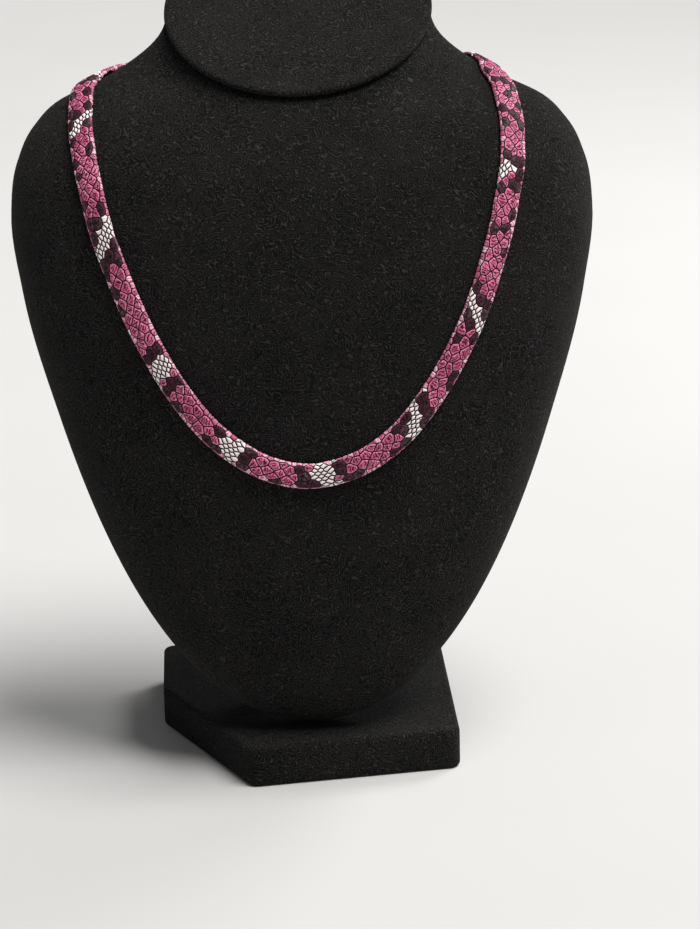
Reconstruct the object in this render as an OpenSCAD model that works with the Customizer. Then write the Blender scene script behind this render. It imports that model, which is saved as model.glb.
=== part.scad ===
// Snakeskin necklace on a velvet neck bust: a flat padded band in a closed loop
// round a display form, which leans back on a post over a five-sided base block.
// Units are millimetres. The origin is the middle of the base block's underside,
// +Z is up and the form faces -Y.

/* [Base block] */
// Thickness of the block
base_h = 15; // [12:1:20]
// Width of the block across its widest corners
base_w = 114; // [100:1:125]
// Depth of the block from its front corner to its rear edge
base_depth = 108; // [95:1:115]
// Radius of the block's upright corners
base_corner_r = 4; // [2:0.5:6]

/* [Post] */
// Radius of the post between the block and the form
post_r = 7; // [5:0.5:8]
// Depth that the post reaches above the block
post_reach = 75; // [60:1:90]

/* [Display form] */
// Width across the shoulders
form_w = 203; // [190:1:215]
// Length from the lower tip to the middle of the neck's slanted top
form_h = 249; // [240:1:260]
// Depth of the chest in front of the form's axis
form_front = 49; // [46:1:54]
// Depth of the back behind the form's axis
form_back = 43; // [40:1:48]
// Backward lean of the form's axis, in degrees
form_lean = 12; // [8:1:14]
// Clearance between the lower tip and the block
tip_gap = 1; // [0.5:0.5:3]
// Distance of the lower tip in front of the post's axis
tip_front = 32; // [30:1:34]

/* [Neck] */
// Radius of the neck
neck_r = 45; // [42:0.5:48]
// Forward slant of the neck's top, in degrees
neck_slant = 42; // [38:1:44]
// Overhang of the cap beyond the neck
cap_lip = 1.4; // [0.6:0.2:2.4]
// Thickness of the cap's disc
cap_t = 2.4; // [2:0.2:4]
// Height of the groove under the cap's lip
cap_groove = 1; // [0.6:0.2:2]

/* [Band] */
// Width of the band
band_w = 8.6; // [7:0.2:10]
// Thickness of the band
band_t = 2.2; // [1.6:0.2:2.6]
// Gap between the band and the velvet
band_gap = 0.35; // [0.3:0.05:0.6]
// How far the band hangs off centre, from 0, even on both sides, to 1
band_hang = 1; // [0:0.25:1]

/* [Clasp] */
// Length of the clasp along the band
clasp_len = 20; // [16:1:24]
// Wall of the clasp
clasp_wall = 0.8; // [0.6:0.1:1]
// Depth that each end of the band goes into the clasp
clasp_grip = 5; // [3:0.5:6]

/* [Hidden] */
$fn = 64;

// Clearances: round the post in the form, under the cap, and round the band's ends
POST_CLEARANCE = 0.1;
CAP_CLEARANCE = 0.1;
CLASP_CLEARANCE = 0.2;

// Corners of the base block, as shares of its width and of its depth
BASE_CORNERS = [
    // across, back
    [-0.180, -0.50],
    [0.455, -0.37],
    [0.395, 0.44],
    [-0.525, 0.42],
    [-0.495, 0.04],
];

// Columns of SECTIONS
RISE = 0;
HALF = 1;
FRONT = 2;
BACK = 3;
NECK = 4;
// Cross sections of the form from its lower tip up. The rise is a share of form_h,
// the half width of half of form_w, front and back of form_front and form_back, and
// the last column is the neck's share of its own radius.
SECTIONS = [
    // rise, half, front, back, neck
    [0.00, 0.000, 0.00, 0.00, 0.0],
    [0.06, 0.355, 0.34, 0.29, 0.0],
    [0.22, 0.640, 0.66, 0.58, 0.0],
    [0.44, 0.850, 0.90, 0.75, 0.0],
    [0.62, 0.967, 1.00, 0.92, 0.3],
    [0.73, 0.998, 0.97, 1.00, 0.7],
    [0.80, 0.972, 0.87, 0.99, 0.9],
    [0.85, 0.910, 0.70, 0.95, 1.0],
    [0.885, 0.820, 0.51, 0.88, 1.0],
    [0.915, 0.660, 0.36, 0.68, 1.0],
    [0.950, 0.500, 0.24, 0.40, 1.0],
    [1.000, 0.300, 0.15, 0.22, 1.0],
    [1.150, 0.200, 0.10, 0.12, 1.0],
];
// How full the torso's sections are, where 2 is an ellipse
TORSO_POWER = 2.2;
// How tight the hollow between neck and shoulders is
BLEND_POWER = 6;
// Level at which the rings start to fan out towards the neck's slanted top, as a
// share of form_h, and the counts of rings below and above it
FAN_START = 0.75;
TORSO_RINGS = 22;
NECK_RINGS = 20;
FORM_SIDES = 60;
// Tries that find where the skin meets the slanted top
TOP_TRIES = 16;

// Columns of ROUTE
TURN = 0;
CLIMB = 1;
OFF = 2;
DRIFT = 3;
LIFT = 4;
// The band's middle line on one side, from its lowest point in front to the middle
// of the back: the turn about the form's axis in degrees, the climb as a share of
// form_h, and how far it lifts off the velvet to make room for the clasp's wall.
// Drift turns both sides towards +X, and lift raises that side and lowers the other.
ROUTE = [
    // turn, climb, off, drift, lift
    [0, 0.3700, 0, 3.3, 0],
    [12.7, 0.3752, 0, 3.3, 0],
    [24.1, 0.3895, 0, 3.2, 0],
    [34, 0.4150, 0, 2.8, 0],
    [41.1, 0.4480, 0, 2.3, 0],
    [46.8, 0.4930, 0, 2.0, 0],
    [51.3, 0.5480, 0, 1.8, 0],
    [55.2, 0.6100, 0, 1.5, 0],
    [58.5, 0.6740, 0, 1.1, 0],
    [61.5, 0.7300, 0, 0.8, 0],
    [64.7, 0.7800, 0, 0.6, 0],
    [69.5, 0.8290, 0, 0, 0],
    [75.8, 0.8700, 0, -0.7, 0],
    [82.7, 0.8993, 0, -1.2, 0.0012],
    [90, 0.9172, 0, -2.5, 0.0020],
    [99.5, 0.9250, 0, -1.8, 0.0035],
    [113, 0.9165, 0, -0.6, 0.0020],
    [132, 0.8970, 0.2, -0.1, 0],
    [156, 0.8800, 0.8, 0, 0],
    [180, 0.8710, 1, 0, 0],
];
// Outline of the band's section: across as a share of half the width, over as a
// share of the thickness
BAND_SECTION = [
    // across, over
    [-1.00, 0.35],
    [-0.92, 0.04],
    [-0.45, 0.00],
    [0.45, 0.00],
    [0.92, 0.04],
    [1.00, 0.35],
    [0.93, 0.72],
    [0.66, 0.93],
    [0.25, 1.00],
    [-0.25, 1.00],
    [-0.66, 0.93],
    [-0.93, 0.72],
];
BAND_RINGS = 164;
CLASP_RINGS = 8;

function unit(v) = v / norm(v);

// Slope of the values at row i, from the rows on both sides
function row_slope(keys, values, i) =
    let (last = len(keys) - 1)
    i == 0 ? (values[1] - values[0]) / (keys[1] - keys[0])
    : i == last ? (values[last] - values[last - 1]) / (keys[last] - keys[last - 1])
    : let (
        before = keys[i] - keys[i - 1],
        after = keys[i + 1] - keys[i],
        slope_in = (values[i] - values[i - 1]) / before,
        slope_out = (values[i + 1] - values[i]) / after
    )
    (slope_in * after + slope_out * before) / (before + after);

// Smooth curve through a table's rows of values, read at x
function curve(keys, values, x) =
    let (
        i = max([for (k = [0 : len(keys) - 2]) if (k == 0 || keys[k] < x) k]),
        span = keys[i + 1] - keys[i],
        t = (x - keys[i]) / span
    )
    values[i] * (1 - t) * (1 - t) * (1 + 2 * t)
    + values[i + 1] * t * t * (3 - 2 * t)
    + row_slope(keys, values, i) * span * t * (1 - t) * (1 - t)
    - row_slope(keys, values, i + 1) * span * t * t * (1 - t);

// Half width, front depth, back depth and neck share at a rise. The rows are read
// over the root of the rise, which rounds the lower tip.
SECTION_KEYS = [for (row = SECTIONS) sqrt(row[RISE])];
SECTION_SIZES = [
    for (row = SECTIONS)
        [row[HALF] * form_w / 2, row[FRONT] * form_front, row[BACK] * form_back, row[NECK]]
];
function section(rise) = curve(SECTION_KEYS, SECTION_SIZES, sqrt(rise / form_h));

// Distance from the middle of an oval to its edge, at a turn from the front
function oval(turn, half, depth, power) =
    pow(pow(abs(sin(turn)) / half, power) + pow(abs(cos(turn)) / depth, power), -1 / power);

// Distance from the form's axis to its skin
function skin_radius(turn, rise) =
    let (
        size = section(rise),
        torso = oval(turn, size[0], cos(turn) > 0 ? size[1] : size[2], TORSO_POWER),
        neck = size[3] * oval(turn, neck_r, neck_r * cos(neck_slant), 2)
    )
    pow(pow(torso, BLEND_POWER) + pow(neck, BLEND_POWER), 1 / BLEND_POWER);

// Point on the skin, in the form's own frame with its axis along Z
function skin(turn, rise) =
    let (r = skin_radius(turn, rise))
    [r * sin(turn), -r * cos(turn), rise];

// Slopes of the skin by turn and by rise, over small steps, and its outward normal
SKIN_STEP = 0.2;
function skin_by_turn(turn, rise) =
    (skin(turn + SKIN_STEP, rise) - skin(turn - SKIN_STEP, rise)) / (2 * SKIN_STEP);
function skin_by_rise(turn, rise) =
    (skin(turn, rise + SKIN_STEP) - skin(turn, rise - SKIN_STEP)) / (2 * SKIN_STEP);
function skin_normal(turn, rise) =
    unit(cross(skin_by_turn(turn, rise), skin_by_rise(turn, rise)));

// Rise of the neck's slanted top at this distance behind the axis, and the rise at
// which the skin meets it
function top_plane(behind) = form_h + behind * tan(neck_slant);
function top_rise(turn, rise = form_h, tries = TOP_TRIES) =
    tries == 0 ? rise : top_rise(turn, top_plane(skin(turn, rise).y), tries - 1);

// Rises of the form's rings, closer together at the lower tip and fanned out above
FAN_LOW = form_h * FAN_START;
function torso_rise(i) = let (x = i / TORSO_RINGS) FAN_LOW * x * x * (3 - x) / 2;
function fan_rise(turn, i) = FAN_LOW + (top_rise(turn) - FAN_LOW) * i / NECK_RINGS;

// Turn of a ring's point, so that the ends of a wide oval get more of the points
function spread(angle, half, depth) = atan2(half * sin(angle), depth * cos(angle));
RING_ANGLES = [for (k = [0 : FORM_SIDES - 1]) 360 * k / FORM_SIDES];
function ring_face(angle) = cos(angle) > 0 ? 0 : 180;
function torso_ring(i) =
    let (rise = torso_rise(i), half = skin_radius(90, rise))
    [
        for (angle = RING_ANGLES)
            skin(spread(angle, half, skin_radius(ring_face(angle), rise)), rise)
    ];
function fan_ring(i) =
    let (half = skin_radius(90, fan_rise(90, i)))
    [
        for (angle = RING_ANGLES)
            let (
                face = ring_face(angle),
                turn = spread(angle, half, skin_radius(face, fan_rise(face, i)))
            )
            skin(turn, fan_rise(turn, i))
    ];

// Row i of the route for the whole loop. The rows run on past the middle of the
// back, so that the curve is smooth there too.
ROUTE_LAST = len(ROUTE) - 1;
function route_row(i) =
    let (
        k = abs(i),
        past = k > ROUTE_LAST,
        row = ROUTE[past ? 2 * ROUTE_LAST - k : k],
        turn = past ? 360 - row[TURN] : row[TURN],
        lift = (i < 0) == past ? row[LIFT] : -row[LIFT]
    )
    [
        (i < 0 ? -turn : turn) + band_hang * row[DRIFT],
        (row[CLIMB] + band_hang * lift) * form_h,
        band_gap + row[OFF] * (clasp_wall + CLASP_CLEARANCE)
    ];
ROUTE_KEYS = [for (i = [-ROUTE_LAST - 2 : ROUTE_LAST + 2]) i];
ROUTE_ROWS = [for (i = ROUTE_KEYS) route_row(i)];
function route(t) = curve(ROUTE_KEYS, ROUTE_ROWS, t);
function route_point(t) = let (at = route(t)) skin(at[0], at[1]);

// Point beside the route: across the band along the skin, and over the band's belly
ROUTE_STEP = 0.02;
function beside(t, across, over) =
    let (
        at = route(t),
        by_turn = skin_by_turn(at[0], at[1]),
        by_rise = skin_by_rise(at[0], at[1]),
        along = unit(route_point(t + ROUTE_STEP) - route_point(t - ROUTE_STEP)),
        side = across * unit(cross(cross(by_turn, by_rise), along)),
        tt = by_turn * by_turn,
        tr = by_turn * by_rise,
        rr = by_rise * by_rise,
        det = tt * rr - tr * tr,
        turn = at[0] + (side * by_turn * rr - side * by_rise * tr) / det,
        rise = at[1] + (side * by_rise * tt - side * by_turn * tr) / det
    )
    skin(turn, rise) + (at[2] + over) * skin_normal(turn, rise);

// Ring round the band, at this distance outside its skin
function band_ring(t, outside) =
    [
        for (p = BAND_SECTION)
            beside(
                t,
                p[0] * (band_w / 2 + outside),
                p[1] * (band_t + 2 * outside) - outside
            )
    ];
function band_middle(t) = beside(t, 0, band_t / 2);

// Millimetres of band to one row of the route, at the middle of the back
BACK_PACE = norm(route_point(ROUTE_LAST) - route_point(ROUTE_LAST - ROUTE_STEP)) / ROUTE_STEP;
// The band's ends stop just short of the floors of the clasp's pockets
BAND_END = ROUTE_LAST - (clasp_len / 2 - clasp_grip + CLASP_CLEARANCE) / BACK_PACE;

// Closed solid through rings of equal count, with a middle point at either end
module skinned(rings, first, last) {
    n = len(rings[0]);
    points = concat([first], [for (ring = rings, p = ring) p], [last]);
    top = len(points) - 1;
    sides = [
        for (i = [0 : len(rings) - 2], k = [0 : n - 1])
            let (a = 1 + i * n + k, b = 1 + i * n + (k + 1) % n)
            each [[a, a + n, b + n], [a, b + n, b]]
    ];
    first_end = [for (k = [0 : n - 1]) [0, 1 + k, 1 + (k + 1) % n]];
    last_end = [for (k = [0 : n - 1]) [top, top - n + (k + 1) % n, top - n + k]];
    polyhedron(points = points, faces = concat(sides, first_end, last_end), convexity = 6);
}

// From the form's own frame to the part's frame
module on_form() {
    translate([0, -tip_front, base_h + tip_gap]) rotate([-form_lean, 0, 0]) children();
}

// Block with rounded upright corners: straight sides between the corner cylinders
module base() {
    r = base_corner_r;
    middles = [
        for (corner = BASE_CORNERS)
            [corner[0] * (base_w - 2 * r), corner[1] * (base_depth - 2 * r)]
    ];
    n = len(middles);
    outline = [
        for (i = [0 : n - 1])
            let (
                from = middles[i],
                to = middles[(i + 1) % n],
                out = r * unit([to.y - from.y, from.x - to.x])
            )
            each [from + out, to + out]
    ];
    color("#2a292d") {
        linear_extrude(base_h) polygon(outline);
        for (middle = middles) translate(middle) cylinder(r = r, h = base_h);
    }
}

module post_rod(clearance) {
    translate([0, 0, base_h]) cylinder(r = post_r + clearance, h = post_reach + clearance);
}

module post() {
    color("#b9bbc0") post_rod(0);
}

// Torso and neck in one, with the blind hole that the post stands in
module form() {
    rings = concat(
        [for (i = [1 : TORSO_RINGS]) torso_ring(i)],
        [for (i = [1 : NECK_RINGS]) fan_ring(i)]
    );
    color("#242327") difference() {
        on_form() skinned(rings, [0, 0, 0], [0, 0, form_h]);
        post_rod(POST_CLEARANCE);
    }
}

// Disc with a round rim, on a narrower foot that leaves the groove under the lip
module neck_cap() {
    rim_r = neck_r + cap_lip - cap_t / 2;
    color("#1f1e22")
        on_form()
        translate([0, 0, form_h])
        rotate([neck_slant, 0, 0])
        translate([0, 0, CAP_CLEARANCE])
        rotate_extrude() {
            square([neck_r - cap_lip, cap_groove]);
            translate([0, cap_groove]) square([rim_r, cap_t]);
            translate([rim_r, cap_groove + cap_t / 2]) circle(d = cap_t);
        }
}

// The whole loop, with its two ends in the clasp
module band() {
    rings = [for (i = [0 : BAND_RINGS]) band_ring(BAND_END * (2 * i / BAND_RINGS - 1), 0)];
    color("#b04a72") on_form() skinned(rings, band_middle(-BAND_END), band_middle(BAND_END));
}

// Sleeve with a blind pocket at either end for the ends of the band
module clasp() {
    half = clasp_len / 2 / BACK_PACE;
    from = ROUTE_LAST - half;
    to = ROUTE_LAST + half;
    pocket = clasp_grip / BACK_PACE;
    sleeve = CLASP_CLEARANCE + clasp_wall;
    rings = concat(
        [for (t = [from + pocket, from]) band_ring(t, CLASP_CLEARANCE)],
        [for (i = [0 : CLASP_RINGS]) band_ring(from + 2 * half * i / CLASP_RINGS, sleeve)],
        [for (t = [to, to - pocket]) band_ring(t, CLASP_CLEARANCE)]
    );
    color("#c9cbd0")
        on_form()
        skinned(rings, band_middle(from + pocket), band_middle(to - pocket));
}

base();
post();
form();
neck_cap();
band();
clasp();
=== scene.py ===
# %% [markdown]
# # A snakeskin necklace on a velvet neck bust
# The packed CAD model gives every solid its place. This lesson dresses it: velvet over
# the bust, and a printed, embossed skin round the necklace's flat padded band.
# Everything is in metres, the bust faces -Y, and each new piece is built where it stays.

# %% Load the packed frame
import math
import random

import bmesh
import bpy
import numpy as np
from mathutils import Matrix, Vector
from mathutils.kdtree import KDTree


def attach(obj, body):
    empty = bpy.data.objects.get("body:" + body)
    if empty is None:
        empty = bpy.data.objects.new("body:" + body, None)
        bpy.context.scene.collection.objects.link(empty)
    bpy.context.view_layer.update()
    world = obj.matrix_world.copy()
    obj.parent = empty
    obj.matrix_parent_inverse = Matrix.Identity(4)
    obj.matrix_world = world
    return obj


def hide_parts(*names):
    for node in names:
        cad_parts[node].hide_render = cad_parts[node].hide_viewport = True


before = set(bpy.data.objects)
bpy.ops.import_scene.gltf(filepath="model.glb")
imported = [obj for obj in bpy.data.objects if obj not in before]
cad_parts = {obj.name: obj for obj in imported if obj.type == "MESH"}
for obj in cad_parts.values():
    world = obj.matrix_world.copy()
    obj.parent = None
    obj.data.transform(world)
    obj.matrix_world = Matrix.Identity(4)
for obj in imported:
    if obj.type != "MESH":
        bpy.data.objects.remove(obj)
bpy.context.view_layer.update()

MM = 0.001

# %% [markdown]
# ## The camera
# A long lens a metre away flattens the bust, as product photographs do. It looks down
# 18 degrees. The bust stands left of the picture's middle, which a small lens shift gives
# without turning the camera, so upright edges stay upright.

# %% Set up the camera
PITCH = math.radians(18)
ROLL = math.radians(-0.9)
LOOK_AT = Vector((0.0467, -0.005, 0.1021))
EYE_DISTANCE, LENS_MM, SHIFT = 1.0, 108.9, -90 / 929
forward = Vector((0, math.cos(PITCH), -math.sin(PITCH)))
level = Vector((1, 0, 0))
upward = level.cross(forward)
right = math.cos(ROLL) * level + math.sin(ROLL) * upward
up = math.cos(ROLL) * upward - math.sin(ROLL) * level
eye = LOOK_AT - EYE_DISTANCE * forward
camera = bpy.data.objects.new("camera", bpy.data.cameras.new("camera"))
camera.matrix_world = Matrix((
    (right.x, up.x, -forward.x, eye.x),
    (right.y, up.y, -forward.y, eye.y),
    (right.z, up.z, -forward.z, eye.z),
    (0, 0, 0, 1),
))
camera.data.lens = LENS_MM
camera.data.shift_x = SHIFT
bpy.context.scene.collection.objects.link(camera)
bpy.context.scene.camera = camera
print("camera at", tuple(round(c, 3) for c in eye))

# %% [markdown]
# ## The skin of the bust
# The bust has no flat side to measure from, so its shape is a small table of cross
# sections, read as a smooth curve. A cubic curve through rows of values is what most
# loft tools use. The same curve also carries the necklace's route, so the band can be
# laid on the velvet exactly. Each function takes many points at once.

# %% Shape tables, as shares of the bust's main sizes
FORM_W, FORM_H, FORM_FRONT, FORM_BACK = 0.203, 0.249, 0.049, 0.043
FORM_LEAN, TIP_FRONT, TIP_Z = math.radians(12), 0.032, 0.016
NECK_R, NECK_SLANT = 0.045, math.radians(42)
SECTIONS = np.array([
    # rise, half width, front, back, neck's share
    [0.00, 0.000, 0.00, 0.00, 0.0],
    [0.06, 0.355, 0.34, 0.29, 0.0],
    [0.22, 0.640, 0.66, 0.58, 0.0],
    [0.44, 0.850, 0.90, 0.75, 0.0],
    [0.62, 0.967, 1.00, 0.92, 0.3],
    [0.73, 0.998, 0.97, 1.00, 0.7],
    [0.80, 0.972, 0.87, 0.99, 0.9],
    [0.85, 0.910, 0.70, 0.95, 1.0],
    [0.885, 0.820, 0.51, 0.88, 1.0],
    [0.915, 0.660, 0.36, 0.68, 1.0],
    [0.950, 0.500, 0.24, 0.40, 1.0],
    [1.000, 0.300, 0.15, 0.22, 1.0],
    [1.150, 0.200, 0.10, 0.12, 1.0],
])
TORSO_POWER, BLEND_POWER = 2.2, 6


def smooth_curve(keys, rows, x):
    """Cubic curve through a table's rows, read at each x."""
    keys, rows, x = (np.asarray(a, float) for a in (keys, rows, x))
    slope = np.gradient(rows, keys, axis=0)
    i = np.clip(np.searchsorted(keys, x, side="left") - 1, 0, len(keys) - 2)
    span = (keys[i + 1] - keys[i])[..., None]
    t = (x - keys[i])[..., None] / span
    return (rows[i] * (1 - t) ** 2 * (1 + 2 * t) + rows[i + 1] * t * t * (3 - 2 * t)
            + slope[i] * span * t * (1 - t) ** 2 - slope[i + 1] * span * t * t * (1 - t))


def oval(turn, half, depth, power):
    """Distance from an oval's middle to its edge."""
    across, ahead = np.abs(np.sin(turn)) / half, np.abs(np.cos(turn)) / depth
    return (across ** power + ahead ** power) ** (-1 / power)


SECTION_KEYS = np.sqrt(SECTIONS[:, 0])
SECTION_SIZES = SECTIONS[:, 1:] * (FORM_W / 2, FORM_FRONT, FORM_BACK, 1)


def skin_radius(turn, rise):
    """Distance from the bust's axis to its skin: torso and neck melt into one."""
    size = smooth_curve(SECTION_KEYS, SECTION_SIZES, np.sqrt(rise / FORM_H))
    depth = np.where(np.cos(turn) > 0, size[..., 1], size[..., 2])
    torso = oval(turn, size[..., 0], depth, TORSO_POWER)
    neck = size[..., 3] * oval(turn, NECK_R, NECK_R * math.cos(NECK_SLANT), 2)
    return (torso ** BLEND_POWER + np.abs(neck) ** BLEND_POWER) ** (1 / BLEND_POWER)


def skin(turn, rise):
    """Point on the bust's skin, in the bust's own upright frame."""
    radius = skin_radius(turn, rise)
    return np.stack([radius * np.sin(turn), -radius * np.cos(turn), rise + 0 * radius], -1)


def lean_back(points):
    """From the bust's own frame to the scene: the bust leans back above the block."""
    x, y, z = points[..., 0], points[..., 1], points[..., 2]
    c, s = math.cos(FORM_LEAN), math.sin(FORM_LEAN)
    return np.stack([x, y * c + z * s - TIP_FRONT, z * c - y * s + TIP_Z], -1)


shoulder = lean_back(skin(np.array(math.pi / 2), np.array(0.73 * FORM_H)))
print("shoulder at", (shoulder / MM).round(1), "mm")

# %% [markdown]
# ## Small helpers for pieces
# Each piece is built in a bmesh and then handed to an object at the origin. `finish_piece`
# does the same chores for all: normals, smooth shading, the body it rides on, the
# material slot that it belongs to, and the CAD solid that it replaces.

# %% Helpers for pieces


def finish_piece(bm, name, material, replaced):
    """Turns a bmesh into a piece of the scene."""
    bmesh.ops.recalc_face_normals(bm, faces=bm.faces)
    mesh = bpy.data.meshes.new(name)
    bm.to_mesh(mesh)
    bm.free()
    mesh.shade_smooth()
    mesh.materials.append(material)
    piece = bpy.data.objects.new(name, mesh)
    bpy.context.scene.collection.objects.link(piece)
    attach(piece, "root")
    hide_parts(replaced)
    print(name, len(mesh.polygons), "faces")
    return piece


def vertex_places(bm):
    return np.array([v.co for v in bm.verts], float)


def place_vertices(bm, points):
    for vertex, point in zip(bm.verts, points):
        vertex.co = point


print("helpers for pieces: finish_piece, vertex_places, place_vertices")


# %% [markdown]
# ## Helpers for materials
# A material is a small graph of nodes. These helpers add a node with its settings and
# wire it up in one line, so that the recipes below read from top to bottom.

# %% Helpers for materials


class Recipe:
    """A new material, and one line for each kind of node in it."""

    def __init__(self, name):
        self.material = bpy.data.materials.new(name)
        self.material.use_nodes = True
        self.nodes = self.material.node_tree.nodes
        self.links = self.material.node_tree.links
        self.shader = self.nodes["Principled BSDF"]

    def wire(self, target, value):
        """Links an output to a socket, or sets the socket's own value."""
        if hasattr(value, "is_output"):
            self.links.new(value, target)
        else:
            target.default_value = value

    def node(self, kind, *inputs, out=0, sockets=None, **settings):
        """Adds a node: inputs by their order, sockets by their names, and its settings."""
        node = self.nodes.new("ShaderNode" + kind)
        for key, value in settings.items():
            setattr(node, key, value)
        for socket, value in zip(node.inputs, inputs):
            self.wire(socket, value)
        for key, value in (sockets or {}).items():
            self.wire(node.inputs[key], value)
        return node.outputs[out]

    def math(self, operation, *inputs, clamp=False):
        return self.node("Math", *inputs, operation=operation, use_clamp=clamp)

    def noise(self, where, scale, detail=2.0, rough=0.5):
        return self.node("TexNoise", sockets={
            "Vector": where, "Scale": scale, "Detail": detail, "Roughness": rough})

    def remap(self, value, low, high, to_low=0.0, to_high=1.0):
        return self.node("MapRange", value, low, high, to_low, to_high,
                         interpolation_type="SMOOTHSTEP")

    def mix(self, share, first, second):
        node = self.nodes.new("ShaderNodeMix")
        node.data_type = "RGBA"
        for socket, value in zip((node.inputs[0], node.inputs[6], node.inputs[7]),
                                 (share, first, second)):
            self.wire(socket, value)
        return node.outputs[2]

    def object_point(self):
        return self.node("TexCoord", out=3)

    def scaled_point(self, scale):
        return self.node("Mapping", sockets={"Vector": self.object_point(), "Scale": scale})

    def attribute(self, name):
        return self.node("Attribute", attribute_name=name, out=2)

    def bump(self, height, strength, distance):
        return self.node("Bump", sockets={
            "Height": height, "Strength": strength, "Distance": distance})

    def set(self, **sockets):
        for key, value in sockets.items():
            self.wire(self.shader.inputs[key.replace("_", " ")], value)


def rgb(red, green, blue):
    """A colour socket's value, in linear light."""
    return (red, green, blue, 1)


print("steps of a recipe:", ", ".join(k for k in vars(Recipe) if not k.startswith("_")))

# %% [markdown]
# ## Velvet with a crushed, curly nap
# The display is covered in black suede-like velvet. Close up, its nap lies in thin curls
# like fine worms, about a millimetre apart. Curls like these are the contour lines of a
# soft noise, so the noise is folded back and forth and only the ridges of the folds are
# kept. Two such layers take turns in small patches, which breaks the lines up. A fine
# noise stands for single fibres, and sheen lights the cloth where it turns away.

# %% Velvet recipe
NAP_DARK, NAP_LIGHT = rgb(0.0012, 0.0012, 0.0011), rgb(0.0350, 0.0337, 0.0326)
CLOUD_SCALE, PATCH_SCALE, FIBRE_SCALE = 45.0, 900.0, 3600.0
CURL_SHARE, CLOUD_SHARE, FIBRE_SHARE = 0.78, 0.10, 0.20
RIDGE_FOOT, RIDGE_TOP = 0.25, 0.47
NAP_HEIGHT = 0.00032


def velvet(name, curl_scale, folds):
    """Velvet with curls: `curl_scale` sets their size and `folds` how close they lie."""
    r = Recipe(name)
    where = r.object_point()

    def curls(scale, seed):
        """One layer of curls, from its own part of the noise."""
        shifted = r.node("VectorMath", where, (seed, seed * 1.7, -seed), operation="ADD")
        noise = r.noise(shifted, scale, 0.4)
        folded = r.math("PINGPONG", r.math("MULTIPLY", noise, folds), 0.5)
        return r.remap(folded, RIDGE_FOOT, RIDGE_TOP)

    patches = r.noise(where, PATCH_SCALE, 1.0)
    first = r.math("MULTIPLY", curls(curl_scale, 0.0), r.remap(patches, 0.42, 0.56))
    second = r.math("MULTIPLY", curls(curl_scale * 1.2, 3.1), r.remap(patches, 0.54, 0.42))
    curl = r.math("MAXIMUM", first, second)
    fibre = r.noise(where, FIBRE_SCALE, 3.0, 0.7)
    cloud = r.remap(r.noise(where, CLOUD_SCALE, 3.0), 0.3, 0.7)
    light = r.math("ADD", r.math("MULTIPLY", curl, CURL_SHARE),
                   r.math("ADD", r.math("MULTIPLY", cloud, CLOUD_SHARE),
                          r.math("MULTIPLY", fibre, FIBRE_SHARE)), clamp=True)
    height = r.math("ADD", r.math("MULTIPLY", curl, 0.9), r.math("MULTIPLY", fibre, 0.5))
    r.set(Base_Color=r.mix(light, NAP_DARK, NAP_LIGHT), Roughness=0.95,
          Specular_IOR_Level=0.08, Sheen_Weight=0.042, Sheen_Roughness=0.38,
          Sheen_Tint=rgb(0.82, 0.78, 0.78), Normal=r.bump(height, 0.95, NAP_HEIGHT))
    return r.material


form_velvet = velvet("form_velvet", 260.0, 10.0)
cap_velvet = velvet("cap_velvet", 250.0, 10.5)
base_velvet = velvet("base_velvet", 270.0, 10.0)
print("velvets with", len(form_velvet.node_tree.nodes), "nodes each")

# %% [markdown]
# ## The bust's body
# On the real display a moulded shell is wrapped in one piece of velvet. A lathe can't
# make it, because every section is a different oval. Here a ball made by an operator has
# as many rings as the body needs, and each ring is pushed out to its own section. The
# ball's lower pole is the tip, and its upper pole is the middle of the neck's slanted
# top, where the velvet folds over a small round rim.

# %% Rings of the body
BODY_SIDES, TORSO_RINGS, NECK_RINGS, RIM_RINGS, TOP_RINGS = 160, 64, 44, 4, 5
BODY_RINGS = TORSO_RINGS + NECK_RINGS + RIM_RINGS + TOP_RINGS
FAN_LOW = 0.75 * FORM_H  # where the torso's rings end and the neck's begin
RIM_R, TIP_RISE = 0.0009, 1e-7
TOP_TRIES = 20


def top_rise(turn):
    """Rise at which the skin meets the neck's slanted top."""
    rise = np.full_like(turn, FORM_H)
    for _ in range(TOP_TRIES):
        rise = FORM_H + skin(turn, rise)[..., 1] * math.tan(NECK_SLANT)
    return rise


def spread(angle, rise):
    """Turns that share a ring's points out evenly on a wide oval."""
    half = skin_radius(np.full_like(angle, math.pi / 2), rise)
    depth = skin_radius(np.where(np.cos(angle) > 0, 0, math.pi), rise)
    return np.arctan2(half * np.sin(angle), depth * np.cos(angle))


def share_done(ring, start, count):
    """How much of a run of rings is done at this ring, from 0 to 1."""
    return np.clip((ring - start) / count, 0, 1)


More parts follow.
